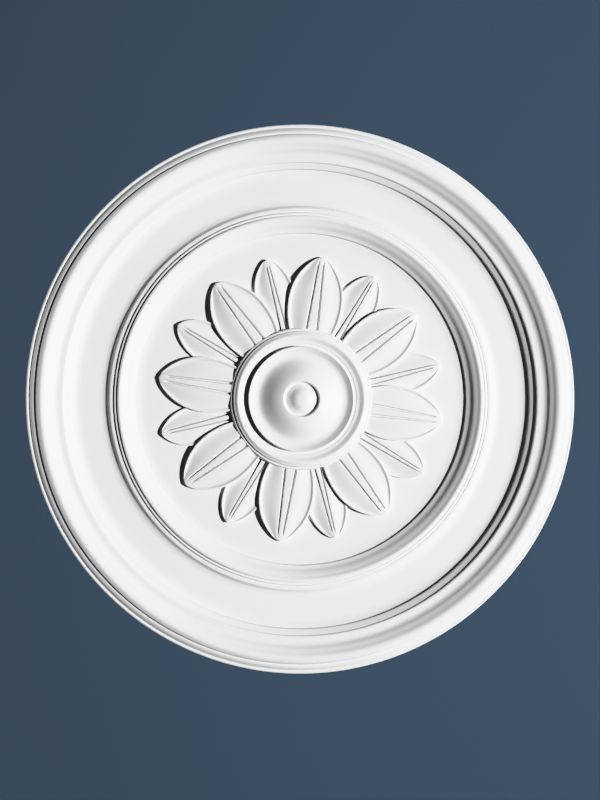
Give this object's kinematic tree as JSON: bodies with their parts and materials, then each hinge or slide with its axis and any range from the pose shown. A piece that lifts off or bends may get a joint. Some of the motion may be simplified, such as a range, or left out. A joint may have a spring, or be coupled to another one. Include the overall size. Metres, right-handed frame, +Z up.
{
  "type": "ceiling rose",
  "caption": "Round moulded ceiling rose with two moulded rings, a flower of overlapping pointed leaves and a dished central boss, flat on its back.",
  "frame": {"origin": "centre of the flat back face, where it meets the ceiling", "axes": "+Z up, square out of the flat back into the ceiling; the moulded face hangs below, towards -Z; a large leaf points along +X"},
  "size_m": [0.5999, 0.6, 0.033],
  "materials": {
    "white_casting": "white primed, smooth satin matt"
  },
  "bodies": {
    "root": {"ceiling_rose": "white_casting"}
  },
  "joints": []
}
